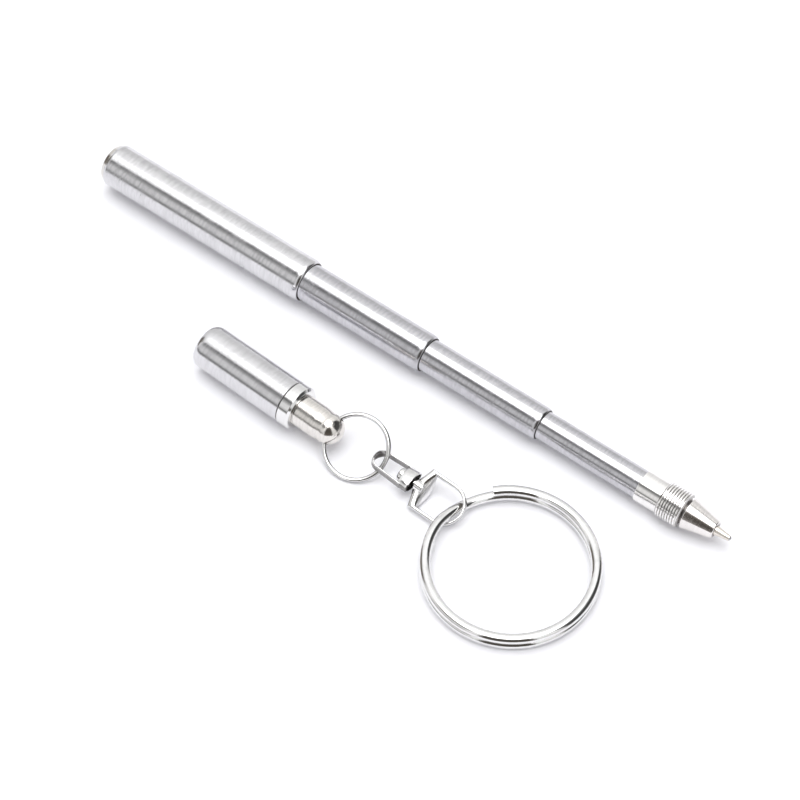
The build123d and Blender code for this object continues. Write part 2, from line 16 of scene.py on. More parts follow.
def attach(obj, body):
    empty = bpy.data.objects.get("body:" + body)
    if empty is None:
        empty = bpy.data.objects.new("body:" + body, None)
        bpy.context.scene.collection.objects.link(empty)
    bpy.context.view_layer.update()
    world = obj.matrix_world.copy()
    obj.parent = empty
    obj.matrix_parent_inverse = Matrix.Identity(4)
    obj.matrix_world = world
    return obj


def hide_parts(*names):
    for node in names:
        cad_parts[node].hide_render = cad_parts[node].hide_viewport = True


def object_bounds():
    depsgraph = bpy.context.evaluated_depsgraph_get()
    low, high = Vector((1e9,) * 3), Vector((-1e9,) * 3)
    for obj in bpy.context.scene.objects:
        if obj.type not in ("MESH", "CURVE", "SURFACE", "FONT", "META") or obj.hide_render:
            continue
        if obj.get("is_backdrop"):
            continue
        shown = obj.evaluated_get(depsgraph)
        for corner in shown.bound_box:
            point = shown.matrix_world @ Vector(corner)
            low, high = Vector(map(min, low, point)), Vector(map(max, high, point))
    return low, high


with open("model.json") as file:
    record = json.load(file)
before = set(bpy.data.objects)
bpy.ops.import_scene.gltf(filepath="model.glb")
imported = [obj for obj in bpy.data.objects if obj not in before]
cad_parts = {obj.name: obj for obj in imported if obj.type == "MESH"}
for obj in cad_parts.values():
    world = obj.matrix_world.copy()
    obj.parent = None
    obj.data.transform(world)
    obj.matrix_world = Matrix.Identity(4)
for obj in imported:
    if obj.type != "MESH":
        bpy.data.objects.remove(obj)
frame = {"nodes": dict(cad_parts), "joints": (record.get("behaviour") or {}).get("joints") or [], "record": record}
cad_box = [list(corner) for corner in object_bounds()]
joints = {joint["name"]: joint for joint in frame["joints"]}
mounts = {mount["name"]: mount for mount in frame["record"]["mounts"]}

# %% [markdown]
# ## Where things stand
# Every piece is worked out in its own small frame, in millimetres, and then stood in the set.
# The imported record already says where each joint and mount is, so the stands are read from there and not
# typed again. A stand is an origin and three directions: X along the piece, Y towards its side, and Z
# square to both.

# %% Stand helpers
MM = 0.001


def unit(vector):
    """The vector divided by its own length."""
    vector = np.asarray(vector, float)
    return vector / np.linalg.norm(vector)


def stand(origin, axis, side):
    """Origin and three rows of directions: axis, then side made square to it, then their cross product."""
    axis = unit(axis)
    up = unit(np.cross(axis, side))
    return np.asarray(origin, float), np.array([axis, np.cross(up, axis), up])


def stood(points, place):
    """Local millimetre points times the stand's directions, plus its origin, in metres."""
    origin, rows = place
    return origin + MM * points @ rows


# %% Stands of the pen and the cap
BALL_PLACE = 114.9
EYE_PLACE = 24.5

pen_axis = unit(joints["second_tube_slide"]["axis"])
pen_rear = np.array(joints["writing_ball_roll"]["pos_m"]) - MM * BALL_PLACE * pen_axis
pen = stand(pen_rear, pen_axis, (0, 1, 0))

eye = np.array(joints["cap_swing"]["pos_m"])
eye_axis = unit(joints["cap_swing"]["axis"])
cap_axis = -unit(mounts["cap_socket"]["axis"])
cap = stand(eye - MM * EYE_PLACE * cap_axis, cap_axis, eye_axis)
print("pen rear", np.round(pen_rear / MM, 2), "cap eye", np.round(eye / MM, 2))

# %% [markdown]
# The link ring hangs in the finial's cross hole. Its wire is curved and the hole is straight, so the ring's
# middle is a little nearer to the hole than its radius: by half the height of the arc inside the hole.

# %% Stands of the link ring, the swivel and the key ring
DOME_PLACE, DOME_R = 24.0, 2.4
LINK_R = 4.8
SWIVEL_TO_BOW = 8.6
SHACKLE_ROLL, BOW_ROLL = -9.0, 24.0

hole_half = np.sqrt(DOME_R**2 - (EYE_PLACE - DOME_PLACE) ** 2)
link_reach = (LINK_R + np.sqrt(LINK_R**2 - hole_half**2)) / 2
link_out = np.array(joints["link_swing"]["pos_m"]) - eye
link_out = unit(link_out - eye_axis * (link_out @ eye_axis))
link = stand(eye + MM * link_reach * link_out, -link_out, -eye_axis)

bow_base = np.array(joints["swivel_spin"]["pos_m"])
swivel_axis = unit(joints["swivel_spin"]["axis"])
swivel_side = unit(np.cross((0, 0, 1), swivel_axis))
swivel_up = np.cross(swivel_axis, swivel_side)


def rolled(origin, degrees):
    """Stand on the swivel's axis whose side is the level side turned by an angle about that axis."""
    turn = np.radians(degrees)
    return stand(origin, swivel_axis, swivel_side * np.cos(turn) + swivel_up * np.sin(turn))


shackle = rolled(bow_base - MM * SWIVEL_TO_BOW * swivel_axis, SHACKLE_ROLL)
bow = rolled(bow_base, BOW_ROLL)
ring_centre = np.array(mounts["key_ring_eye"]["pos_m"])
ring_out = np.array(joints["bow_swing"]["pos_m"]) - ring_centre
ring = stand(ring_centre, ring_out, np.cross(mounts["key_ring_eye"]["axis"], ring_out))
print("link ring", np.round(link[0] / MM, 2), "key ring", np.round(ring_centre / MM, 2))

# %% [markdown]
# ## From grids to pieces
# All pieces are turned, bent from wire or cast as a loop, so each one is a surface over two
# parameters. One could model them by hand with modifiers, but a grid worked out with numpy is exact, smooth
# and quick: rows run along the profile or the wire, columns run around it, and the faces are the squares
# between them.

# %% Grid mesh
MERGE, SLIVER = 2e-7, 1e-8
SHARP_ANGLE = np.radians(40)


def squares(rows, columns, loop_rows, loop_columns):
    """Corner numbers of each square: a point, the one in the next row, that one's next column, and back;
    a modulo joins the last row or column to the first."""
    i = np.arange(rows if loop_rows else rows - 1)[:, None]
    j = np.arange(columns if loop_columns else columns - 1)[None, :]
    below, beside = (i + 1) % rows, (j + 1) % columns
    corners = [i * columns + j, below * columns + j, below * columns + beside, i * columns + beside]
    return np.stack(np.broadcast_arrays(*corners), axis=-1).reshape(-1, 4)


def mesh_of(name, shells):
    """Mesh from shells of (points in metres, rows loop, columns loop); doubles merge and normals face
    outwards."""
    points, faces, start = [], [], 0
    for grid, loop_rows, loop_columns in shells:
        rows, columns = grid.shape[:2]
        points.append(grid.reshape(-1, 3))
        faces.append(squares(rows, columns, loop_rows, loop_columns) + start)
        start += rows * columns
    mesh = bpy.data.meshes.new(name)
    mesh.from_pydata(np.concatenate(points).tolist(), [], np.concatenate(faces).tolist())
    work = bmesh.new()
    work.from_mesh(mesh)
    bmesh.ops.remove_doubles(work, verts=work.verts, dist=MERGE)
    bmesh.ops.dissolve_degenerate(work, edges=work.edges, dist=SLIVER)
    bmesh.ops.recalc_face_normals(work, faces=work.faces)
    work.to_mesh(mesh)
    work.free()
    mesh.shade_smooth()
    mesh.set_sharp_from_angle(angle=SHARP_ANGLE)
    return mesh


def in_scene(name, data):
    """New object at the origin, in the scene's own collection."""
    made = bpy.data.objects.new(name, data)
    bpy.context.scene.collection.objects.link(made)
    return made


def piece(node, body, slot, place, *shells, look=None):
    """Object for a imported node: shells stood in the set, riding on its body, in its slot's finish or in
    another look."""
    shells = [(stood(grid, place), loop_rows, loop_columns) for grid, loop_rows, loop_columns in shells]
    made = in_scene("dress_" + node, mesh_of("dress_" + node, shells))
    made.data.materials.append(finish[look or slot])
    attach(made, body)
    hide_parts(node)
    print(made.name, len(made.data.polygons), "faces")
    return made


# %% [markdown]
# Turned work is drawn as half a section: a list of corners, each a place along the axis and a radius.
# No real edge is perfectly sharp, and it is the small round of an edge that catches the light, so every
# corner becomes an arc. Two more points beside each arc keep the flats flat under smooth shading.
# Most sections go in steps, which are told as a list of radii with the places between them.

# %% Turned profiles
EDGE = 0.035
FLAT_KEEPER, CORNER_REACH = 0.05, 0.45
AROUND = 160


def stairs(*sizes):
    """Corners of a stepped section, told as radius, place, radius, place and so on: every place is met at
    the radius before it and left at the radius after it."""
    radii, places = sizes[::2], sizes[1::2]
    return list(zip(np.repeat(places, 2), np.repeat(radii, 2)[1:-1]))


def rounded(corners, rounds=None, closed=True, steps=6):
    """Profile with arcs for corners: an arc starts radius / tan(half angle) before the corner, and its
    centre lies radius / sin(half angle) along the bisector."""
    rounds = rounds or {}
    corners = np.asarray(corners, float)
    count, runs = len(corners), []
    for number in range(count):
        here = corners[number]
        if not closed and number in (0, count - 1):
            runs.append(here[None])
            continue
        before, after = corners[number - 1] - here, corners[(number + 1) % count] - here
        reach = CORNER_REACH * min(np.linalg.norm(before), np.linalg.norm(after))
        before, after = unit(before), unit(after)
        half = np.arccos(np.clip(before @ after, -1, 1)) / 2
        radius = min(rounds.get(number, EDGE), reach * np.tan(half))
        cut = radius / np.tan(half)
        centre = here + unit(before + after) * radius / np.sin(half)
        first, last = here + before * cut - centre, here + after * cut - centre
        start = np.arctan2(first[1], first[0])
        sweep = (np.arctan2(last[1], last[0]) - start + np.pi) % (2 * np.pi) - np.pi
        angles = start + sweep * np.linspace(0, 1, steps + 1)
        arc = centre + radius * np.stack([np.cos(angles), np.sin(angles)], axis=-1)
        near = cut + min(FLAT_KEEPER, reach / 2)
        runs.append(np.vstack([here + before * near, arc, here + after * near]))
    return np.vstack(runs)


def rolled_in(front, length, outside, lip, steps=18):
    """Quarter of an ellipse from the outside, a length behind the front, to the lip's radius there."""
    turn = np.linspace(0, np.pi / 2, steps)
    return np.stack([front - length * (1 - np.sin(turn)), lip + (outside - lip) * np.cos(turn)], axis=-1)


def turned(profile, around=AROUND, swell=None):
    """Grid of (place, radius) points carried round the X axis; swell(place, angle) adds to the radius."""
    angle = np.linspace(0, 2 * np.pi, around, endpoint=False)[None, :]
    place, radius = profile[:, :1], profile[:, 1:]
    radius = radius + (swell(place, angle) if swell else 0 * angle)
    return np.stack([place + 0 * angle, radius * np.cos(angle), radius * np.sin(angle)], axis=-1)


# %% [markdown]
# ## Finishes
# All visible pieces are metal, but no two are finished alike: the tubes are satin from a belt, the
# nose is polished on the lathe, the finial is nickel over a blasted surface, and the rings are
# barrel-plated chrome. What tells them apart is how sharp the reflection is and what breaks it up.
# One could paint that as pictures, but then each would be tied to one piece. So the shared effects are
# node groups that put out masks: lathe lines, handling marks, fine pits, painted shade in grooves, and painted
# shade on the sides of a strip. Each material then places them with its own strengths. Patterns read Object
# coordinates, turned by a Mapping node so that X runs along the piece, in millimetres.

# %% Node helpers
def node_in(tree, kind, **values):
    """New node of a kind; a value goes to the input of that name, or to the node's own setting."""
    made = tree.nodes.new(kind)
    for key, value in values.items():
        key = key if hasattr(made, key) else key.replace("_", " ")
        if key in made.inputs:
            made.inputs[key].default_value = value
        else:
            setattr(made, key, value)
    return made


def group_of(name, inputs, output):
    """Empty node group with a place, named numbers and one number out, and its two end nodes."""
    tree = bpy.data.node_groups.new(name, "ShaderNodeTree")
    tree.interface.new_socket("Place", in_out="INPUT", socket_type="NodeSocketVector")
    for label, value in inputs.items():
        socket = tree.interface.new_socket(label, in_out="INPUT", socket_type="NodeSocketFloat")
        socket.default_value = value
    tree.interface.new_socket(output, in_out="OUTPUT", socket_type="NodeSocketFloat")
    return tree, tree.nodes.new("NodeGroupInput"), tree.nodes.new("NodeGroupOutput")


def joined(tree, operation, first, second):
    """Two values made one by a sum, a product, a quotient or a comparison."""
    made = node_in(tree, "ShaderNodeMath", operation=operation)
    tree.links.new(first, made.inputs[0])
    tree.links.new(second, made.inputs[1])
    return made.outputs[0]


def eased(tree, value, low, high):
    """Share of the way from low to high, with a soft start and end."""
    made = node_in(tree, "ShaderNodeMapRange", interpolation_type="SMOOTHSTEP")
    made.inputs["From Min"].default_value, made.inputs["From Max"].default_value = low, high
    tree.links.new(value, made.inputs["Value"])
    return made.outputs[0]


# %% Shared effects
LINE_EDGES, MARK_EDGES, SIDE_EDGES = (0.3, 0.7), (0.42, 0.68), (0.95, 0.5)


def lathe_lines():
    """Fine lines round the piece: noise that changes quickly along X and slowly across it, sharpened."""
    tree, start, end = group_of("lathe_lines", {"Lines per mm": 6.0, "Break up": 0.3}, "Lines")
    scale = node_in(tree, "ShaderNodeCombineXYZ")
    stretch = node_in(tree, "ShaderNodeVectorMath", operation="MULTIPLY")
    noise = node_in(tree, "ShaderNodeTexNoise", Scale=1.0, Detail=3.0, Roughness=0.6)
    tree.links.new(start.outputs["Lines per mm"], scale.inputs["X"])
    for across in ("Y", "Z"):
        tree.links.new(start.outputs["Break up"], scale.inputs[across])
    tree.links.new(start.outputs["Place"], stretch.inputs[0])
    tree.links.new(scale.outputs[0], stretch.inputs[1])
    tree.links.new(stretch.outputs[0], noise.inputs["Vector"])
    tree.links.new(eased(tree, noise.outputs[0], *LINE_EDGES), end.inputs["Lines"])
    return tree


def handling_marks():
    """Soft patches where fingers dull the metal: smooth noise, kept above a threshold."""
    tree, start, end = group_of("handling_marks", {"Patches per mm": 0.3}, "Marks")
    noise = node_in(tree, "ShaderNodeTexNoise", Detail=4.0, Roughness=0.55)
    tree.links.new(start.outputs["Place"], noise.inputs["Vector"])
    tree.links.new(start.outputs["Patches per mm"], noise.inputs["Scale"])
    tree.links.new(eased(tree, noise.outputs[0], *MARK_EDGES), end.inputs["Marks"])
    return tree


def fine_pits():
    """Grain of a blasted or plated skin: the distance to the nearest of many scattered points."""
    tree, start, end = group_of("fine_pits", {"Pits per mm": 8.0}, "Pits")
    cells = node_in(tree, "ShaderNodeTexVoronoi")
    tree.links.new(start.outputs["Place"], cells.inputs["Vector"])
    tree.links.new(start.outputs["Pits per mm"], cells.inputs["Scale"])
    tree.links.new(cells.outputs["Distance"], end.inputs["Pits"])
    return tree


def groove_shade():
    """Painted shade in a groove: between two places along X, the share of the way down from the crest's
    radius to the root's, times a strength."""
    sizes = {"Start": 0.0, "End": 1.0, "Root": 0.0, "Crest": 1.0, "Strength": 1.0}
    tree, start, end = group_of("groove_shade", sizes, "Shade")
    parts = node_in(tree, "ShaderNodeSeparateXYZ")
    across = node_in(tree, "ShaderNodeVectorMath", operation="MULTIPLY")
    across.inputs[1].default_value = (0, 1, 1)
    radius = node_in(tree, "ShaderNodeVectorMath", operation="LENGTH")
    down = node_in(tree, "ShaderNodeMapRange", interpolation_type="SMOOTHSTEP")
    tree.links.new(start.outputs["Place"], parts.inputs[0])
    tree.links.new(start.outputs["Place"], across.inputs[0])
    tree.links.new(across.outputs[0], radius.inputs[0])
    tree.links.new(radius.outputs["Value"], down.inputs["Value"])
    tree.links.new(start.outputs["Crest"], down.inputs["From Min"])
    tree.links.new(start.outputs["Root"], down.inputs["From Max"])
    after = joined(tree, "GREATER_THAN", parts.outputs["X"], start.outputs["Start"])
    before = joined(tree, "LESS_THAN", parts.outputs["X"], start.outputs["End"])
    between = joined(tree, "MULTIPLY", after, before)
    # The mask paints shade towards the groove's root.
    painted_shade = joined(tree, "MULTIPLY", down.outputs[0], start.outputs["Strength"])
    tree.links.new(joined(tree, "MULTIPLY", between, painted_shade), end.inputs["Shade"])
    return tree


def side_shade():
    """Painted shade on the sides of a strip: full at its middle level and gone near its half height, times a
    strength."""
    tree, start, end = group_of("side_shade", {"Half height": 0.5, "Strength": 0.5}, "Shade")
    parts = node_in(tree, "ShaderNodeSeparateXYZ")
    level = node_in(tree, "ShaderNodeMath", operation="ABSOLUTE")
    tree.links.new(start.outputs["Place"], parts.inputs[0])
    tree.links.new(parts.outputs["Z"], level.inputs[0])
    share = joined(tree, "DIVIDE", level.outputs[0], start.outputs["Half height"])
    # The mask paints shade on the strip's sides.
    shade = joined(tree, "MULTIPLY", eased(tree, share, *SIDE_EDGES), start.outputs["Strength"])
    tree.links.new(shade, end.inputs["Shade"])
    return tree


shared = (lathe_lines(), handling_marks(), fine_pits(), groove_shade(), side_shade())
effects = {tree.name: tree for tree in shared}
print("effects:", sorted(effects))


# %% Placing an effect
def own_place(tree, place):
    """The piece's own coordinates: Object coordinates in millimetres, turned and moved by Mapping."""
    origin, rows = place
    spot = node_in(tree, "ShaderNodeTexCoord")
    turn = node_in(tree, "ShaderNodeMapping")
    turn.inputs["Scale"].default_value = (1 / MM,) * 3
    turn.inputs["Rotation"].default_value = Matrix(rows.tolist()).to_euler()
    turn.inputs["Location"].default_value = (-rows @ origin / MM).tolist()
    tree.links.new(spot.outputs["Object"], turn.inputs["Vector"])
    return turn.outputs[0]


def in_group(tree, name, place, **values):
    """A shared effect placed in a material's tree, fed with the piece's own coordinates."""
    made = tree.nodes.new("ShaderNodeGroup")
    made.node_tree = effects[name]
    tree.links.new(place, made.inputs["Place"])
    for key, value in values.items():
        made.inputs[key.replace("_", " ")].default_value = value
    return made.outputs[0]


def scaled(tree, value, gain, shift=0.0):
    """value times gain plus shift, as one node."""
    made = node_in(tree, "ShaderNodeMath", operation="MULTIPLY_ADD")
    tree.links.new(value, made.inputs[0])
    made.inputs[1].default_value, made.inputs[2].default_value = gain, shift
    return made.outputs[0]


def mixed(tree, share, first, second):
    """Colour mix by a share; each colour is another node's output or three numbers."""
    mix = node_in(tree, "ShaderNodeMix", data_type="RGBA")
    tree.links.new(share, mix.inputs[0])
    for socket, colour in ((mix.inputs[6], first), (mix.inputs[7], second)):
        if isinstance(colour, bpy.types.NodeSocket):
            tree.links.new(colour, socket)
        else:
            socket.default_value = (*colour, 1)
    return mix.outputs[2]


# %% Metal finishes
def blank(name, **plain):
    """New material, its tree and its shader, with each plain value on the shader's own input."""
    made = bpy.data.materials.new(name)
    made.use_nodes = True
    skin = made.node_tree.nodes["Principled BSDF"]
    for key, value in plain.items():
        skin.inputs[key.replace("_", " ")].default_value = value
    return made, made.node_tree, skin


SHADE, MARK_SHARE = 0.72, 0.2
# Dark tint of the painted shade in grooves and on strip sides, and the roughness that goes with it.
PAINTED_SHADE_TINT, ROOT_DULL = (0.06, 0.052, 0.047), 0.25


def metal(name, place, colour, rough, lines, dull=0.06, streak=0.2, pits=0.0, grooves=(), sides=None):
    """Metal whose colour, roughness and small relief come from lathe lines, handling marks and pits; each
    groove (start, end, root radius, crest radius, strength) gets painted shade and more roughness at its root,
    and so do the sides (half height, strength) of a strip."""
    made, tree, skin = blank(name, Metallic=1.0)
    where = own_place(tree, place)
    per_mm, break_up, depth = lines
    line = in_group(tree, "lathe_lines", where, Lines_per_mm=per_mm, Break_up=break_up)
    mark = in_group(tree, "handling_marks", where)
    worn = joined(tree, "ADD", scaled(tree, mark, MARK_SHARE), scaled(tree, line, streak))
    tint = mixed(tree, worn, colour, SHADE * np.array(colour))
    rough = joined(tree, "ADD", scaled(tree, line, dull, rough - dull / 2), scaled(tree, mark, dull))
    sizes = [dict(zip(("Start", "End", "Root", "Crest", "Strength"), groove)) for groove in grooves]
    shades = [in_group(tree, "groove_shade", where, **size) for size in sizes]
    if sides:
        shades.append(in_group(tree, "side_shade", where, Half_height=sides[0], Strength=sides[1]))
    # Each mask paints shade by mixing the tint towards the painted-shade tint.
    for shade in shades:
        tint = mixed(tree, shade, tint, PAINTED_SHADE_TINT)
        rough = joined(tree, "ADD", rough, scaled(tree, shade, ROOT_DULL))
    tree.links.new(tint, skin.inputs["Base Color"])
    tree.links.new(rough, skin.inputs["Roughness"])
    relief = scaled(tree, line, depth)
    if pits:
        relief = joined(tree, "ADD", relief, scaled(tree, in_group(tree, "fine_pits", where), pits))
    bump = node_in(tree, "ShaderNodeBump", Distance=MM)
    tree.links.new(relief, bump.inputs["Height"])
    tree.links.new(bump.outputs[0], skin.inputs["Normal"])
    return made


# %% [markdown]
# The numbers of a finish are its colour, its roughness and its lines: how many a millimetre, how soon they
# break up along themselves, and how deep they are in millimetres. A groove is its start and end along the
# piece, its root and crest radius, and the strength of its painted shade: the tubes' mouths, the thread, both
# ends of the cone, the line between cap tube and band, and the far end of the swivel's small loop.

# %% Finish of each slot
STEEL, INNER_STEEL, CHROME = (0.70, 0.695, 0.71), (0.59, 0.585, 0.61), (0.83, 0.825, 0.82)
BELT, LATHE, CAST = (3.2, 0.5, 0.006), (8.0, 0.3, 0.002), (2.0, 2.0, 0.002)
NOSE_CHROME = (0.92, 0.905, 0.89)
# Painted shade, darker towards each band's root: tube mouths, thread roots, cone ends, cap line, shackle end.
BARREL_MOUTH_SHADE = [(39.0, 39.3, 3.12, 3.30, 1.0)]
INNER_MOUTH_SHADES = [(61.6, 61.9, 2.69, 2.87, 1.0), (82.5, 82.8, 2.32, 2.48, 1.0)]
THREAD_ROOT_SHADE = [(103.8, 107.6, 2.6, 2.74, 0.55)]
CONE_END_SHADES = [(107.5, 108.0, 1.95, 2.4, 0.85), (112.62, 113.0, 0.9, 1.36, 0.85)]
CAP_LINE_SHADE = [(16.5, 16.9, 3.27, 3.48, 1.0)]
SHACKLE_END_SHADE = [(0.3, 1.7, 0.9, 1.35, 0.8)]
finish = {
    "tube_steel": metal("satin_tube_steel", pen, STEEL, 0.14, BELT, 0.10, 0.4, grooves=BARREL_MOUTH_SHADE),
    "inner_tube_steel": metal(
        "satin_inner_tube_steel", pen, INNER_STEEL, 0.14, BELT, 0.10, 0.5, grooves=INNER_MOUTH_SHADES
    ),
    "plug_steel": metal("polished_plug_steel", pen, (0.72, 0.70, 0.67), 0.10, (3.0, 0.3, 0.003)),
    "collar_chrome": metal("polished_collar", pen, NOSE_CHROME, 0.07, LATHE, 0.04, grooves=THREAD_ROOT_SHADE),
    "cone_chrome": metal("polished_cone", pen, (0.85, 0.82, 0.80), 0.11, LATHE, 0.05, grooves=CONE_END_SHADES),
    "point_metal": metal("nickel_silver_point", pen, (0.80, 0.75, 0.69), 0.12, (10.0, 0.3, 0.003)),
    "ball_carbide": metal("carbide_ball", pen, (0.62, 0.62, 0.63), 0.12, (10.0, 5.0, 0.001)),
    "cap_steel": metal("satin_cap_steel", cap, STEEL, 0.11, BELT, 0.08, 0.3, grooves=CAP_LINE_SHADE),
    "nut_brass": metal("machined_nut_brass", cap, (0.76, 0.60, 0.32), 0.22, (5.0, 0.3, 0.004)),
    "band_chrome": metal("polished_band", cap, CHROME, 0.06, LATHE, 0.04, grooves=CAP_LINE_SHADE),
    "finial_nickel": metal(
        "satin_nickel_finial", cap, (0.80, 0.77, 0.735), 0.12, BELT, streak=0.4, pits=0.004
    ),
    # The sides values paint shade on the sides of the link wire, the bow and the shackle.
    "link_chrome": metal("bright_link_chrome", link, CHROME, 0.07, CAST, dull=0.05, sides=(0.33, 0.5)),
    "swivel_chrome": metal("bright_swivel_chrome", bow, CHROME, 0.08, CAST, pits=0.003, sides=(0.5, 0.3)),
    "shackle_chrome": metal(
        "bright_shackle_chrome", shackle, CHROME, 0.08, CAST,
        pits=0.003, grooves=SHACKLE_END_SHADE, sides=(0.55, 0.7),
    ),
    "ring_chrome": metal("bright_ring_chrome", ring, CHROME, 0.06, (1.0, 1.0, 0.003), dull=0.05),
    "sleeve_bronze": metal("spring_bronze", pen, (0.62, 0.44, 0.24), 0.28, (6.0, 0.3, 0.004)),
}
print("finishes:", len(finish))


# %% Ink tube
def ink_tube_plastic():
    """Milky plastic of the ink tube: a pale skin, patched where the ink clings inside."""
    made, tree, skin = blank("milky_ink_tube", Subsurface_Weight=0.15)
    mark = in_group(tree, "handling_marks", own_place(tree, pen), Patches_per_mm=0.5)
    tree.links.new(mixed(tree, mark, (0.84, 0.85, 0.84), (0.70, 0.73, 0.76)), skin.inputs["Base Color"])
    tree.links.new(scaled(tree, mark, 0.15, 0.3), skin.inputs["Roughness"])
    return made


finish["refill_plastic"] = ink_tube_plastic()

# %% [markdown]
# ## The tubes
# Each tube is drawn steel with a rolled mouth. A drawn tube could be two cylinders and a ring, but its mouth
# is where the eye goes: the small round of the lip catches a glint and the gap behind it is black.
# So the whole wall is one closed profile, lip, ramp, bore, seat and flare included, carried round the axis.
# The rear edge is one bevel over two pieces: it starts on the barrel and ends on the plug that closes it.

# %% Tubes
MOUTHS = (39.2, 61.8, 82.7, 100.1)
OUTER = (3.5, 3.025, 2.6, 2.225)
BORES = (3.15, 2.725, 2.35, 1.975)
PLUG_FLANGE = 0.8
ENGAGED, FLARE, FLARE_ROOM = 6.15, 0.8, 0.04
SEAT_END, SEAT_DEPTH = 0.65, 0.1
LIP, LIP_RAMP, LIP_ROOM, LIP_ROLL = 0.6, 0.15, 0.1, 0.9
REAR_BEVEL, REAR_BEVEL_R, REAR_ROUND = 1.15, 3.0, 0.4
bevel_slope = (OUTER[0] - REAR_BEVEL_R) / REAR_BEVEL
seam_r = REAR_BEVEL_R + bevel_slope * PLUG_FLANGE


def tube_profile(number):
    """Wall of a tube: from its lip back along the bore, out over the flare or to the rear bevel, and along
    the outside to the rolled mouth."""
    mouth, outside, bore = MOUTHS[number], OUTER[number], BORES[number]
    rear, rounds = [(PLUG_FLANGE, bore), (PLUG_FLANGE, seam_r), (REAR_BEVEL, outside)], {5: REAR_ROUND}
    if number:
        rounds = {}
        end, flare = MOUTHS[number - 1] - ENGAGED, BORES[number - 1] - FLARE_ROOM
        seat_front, seat = MOUTHS[number - 1] - SEAT_END, outside - SEAT_DEPTH
        rear = [(end, bore), (end, flare), (end + FLARE, flare), (end + FLARE, seat)]
        rear += [(seat_front, seat), (seat_front, outside)]
    if number == len(MOUTHS) - 1:
        return rounded([(mouth, bore), *rear, (mouth, outside)])
    lip = OUTER[number + 1] + LIP_ROOM
    inside = [(mouth, lip), (mouth - LIP, lip), (mouth - LIP - LIP_RAMP, bore)]
    wall = rounded([*inside, *rear, (mouth - LIP_ROLL, outside)], rounds, closed=False)
    return np.vstack([wall, rolled_in(mouth, LIP_ROLL, outside, lip)[1:-1]])


# The black gap at each mouth is real, and the finish adds painted shade on the lip's inner edge.
for number, body in enumerate(("barrel", "second", "third", "front")):
    wall = (turned(tube_profile(number)), True, True)
    piece(body + "_tube", body, "tube_steel", pen, wall, look="inner_tube_steel" if number else None)

# %% Rear plug
PLUG_END, PLUG_SPIGOT_R, PLUG_ROUND = 2.8, 3.14, 0.35
plug = [(0, 0), (0, REAR_BEVEL_R), *stairs(seam_r, PLUG_FLANGE, PLUG_SPIGOT_R, PLUG_END, 0)]
plug = rounded(plug, {1: PLUG_ROUND}, closed=False, steps=12)
piece("rear_plug", "barrel", "plug_steel", pen, (turned(plug), False, True))

# %% [markdown]
# ## The nose
# The collar carries the screw thread that holds the cap. The solids keep it as a plain cylinder at the
# crest, so the thread is cut here: along the threaded stretch the radius drops into a groove that moves
# round as it goes forward. That is a helix, written as one function of place and angle, with both ends
# fading out as a die leaves them.

# %% Thread groove
THREAD_PITCH, THREAD_DEPTH = 0.42, 0.15
THREAD_ROWS, CREST_SHARE = 110, 0.1


def thread_groove(start, end, depth):
    """Groove depth at a place and angle: a wave of (place / pitch - angle / full turn), cut flat for the
    crest over a little more than half of its length, fading in and out over one pitch."""

    def groove(place, angle):
        wave = np.cos(2 * np.pi * (place - start) / THREAD_PITCH - angle)
        fade = np.clip((place - start) / THREAD_PITCH, 0, 1) * np.clip((end - place) / THREAD_PITCH, 0, 1)
        return -depth * fade * np.clip(-CREST_SHARE - (1 + CREST_SHARE) * wave, 0, 1)

    return groove


def with_rows(profile, start, end, count):
    """Profile with extra rows between two places on its outer side, where the thread needs them."""
    spot = np.flatnonzero((profile[:-1, 0] <= start) & (profile[1:, 0] >= end))[0]
    share = np.linspace(0, 1, count + 2)[1:-1, None]
    extra = profile[spot] * (1 - share) + profile[spot + 1] * share
    return np.vstack([profile[: spot + 1], extra, profile[spot + 1 :]])


# %% Collar
COLLAR_REAR, THREAD_REAR, THREAD_FRONT = 100.1, 103.8, 107.6
COLLAR_R, CREST_R, THREAD_CHAMFER, THREAD_END_R = 2.5, 2.75, 0.25, 2.35
COLLAR_ROUND, THREAD_EASE = 0.08, 0.1
SPIGOT_REAR, SPIGOT_R, REFILL_HOLE = 96.1, 1.965, 1.2
SOCKET_REAR, SOCKET_R = 105.19, 1.71

collar = stairs(REFILL_HOLE, SPIGOT_REAR, SPIGOT_R, COLLAR_REAR, COLLAR_R)
collar += [(THREAD_REAR, COLLAR_R), (THREAD_REAR + THREAD_CHAMFER, CREST_R)]
collar += [(THREAD_FRONT - THREAD_CHAMFER, CREST_R)]
collar += stairs(THREAD_END_R, THREAD_FRONT, SOCKET_R, SOCKET_REAR, REFILL_HOLE)
collar = rounded(collar, {3: COLLAR_ROUND, 5: COLLAR_ROUND, 6: COLLAR_ROUND})
collar = with_rows(collar, THREAD_REAR + THREAD_PITCH, THREAD_FRONT - THREAD_PITCH, THREAD_ROWS)
groove = thread_groove(THREAD_REAR + THREAD_EASE, THREAD_FRONT - THREAD_EASE, THREAD_DEPTH)


def collar_swell(place, angle):
    """The thread's groove, kept off the collar's bore."""
    return groove(place, angle) * (collar[:, 1:] > SOCKET_R + THREAD_DEPTH)


piece("thread_collar", "front", "collar_chrome", pen, (turned(collar, swell=collar_swell), True, True))

# %% Cone
CONE_REAR, CONE_FRONT = 107.95, 112.7
CONE_R, CONE_FRONT_R, RELIEF_R, STUD_R = 2.45, 1.4, 1.9, 1.7
CONE_REAR_ROUND, CONE_FRONT_ROUND = 0.1, 0.2
POINT_HOLE, SHOULDER = 0.78, 111.9

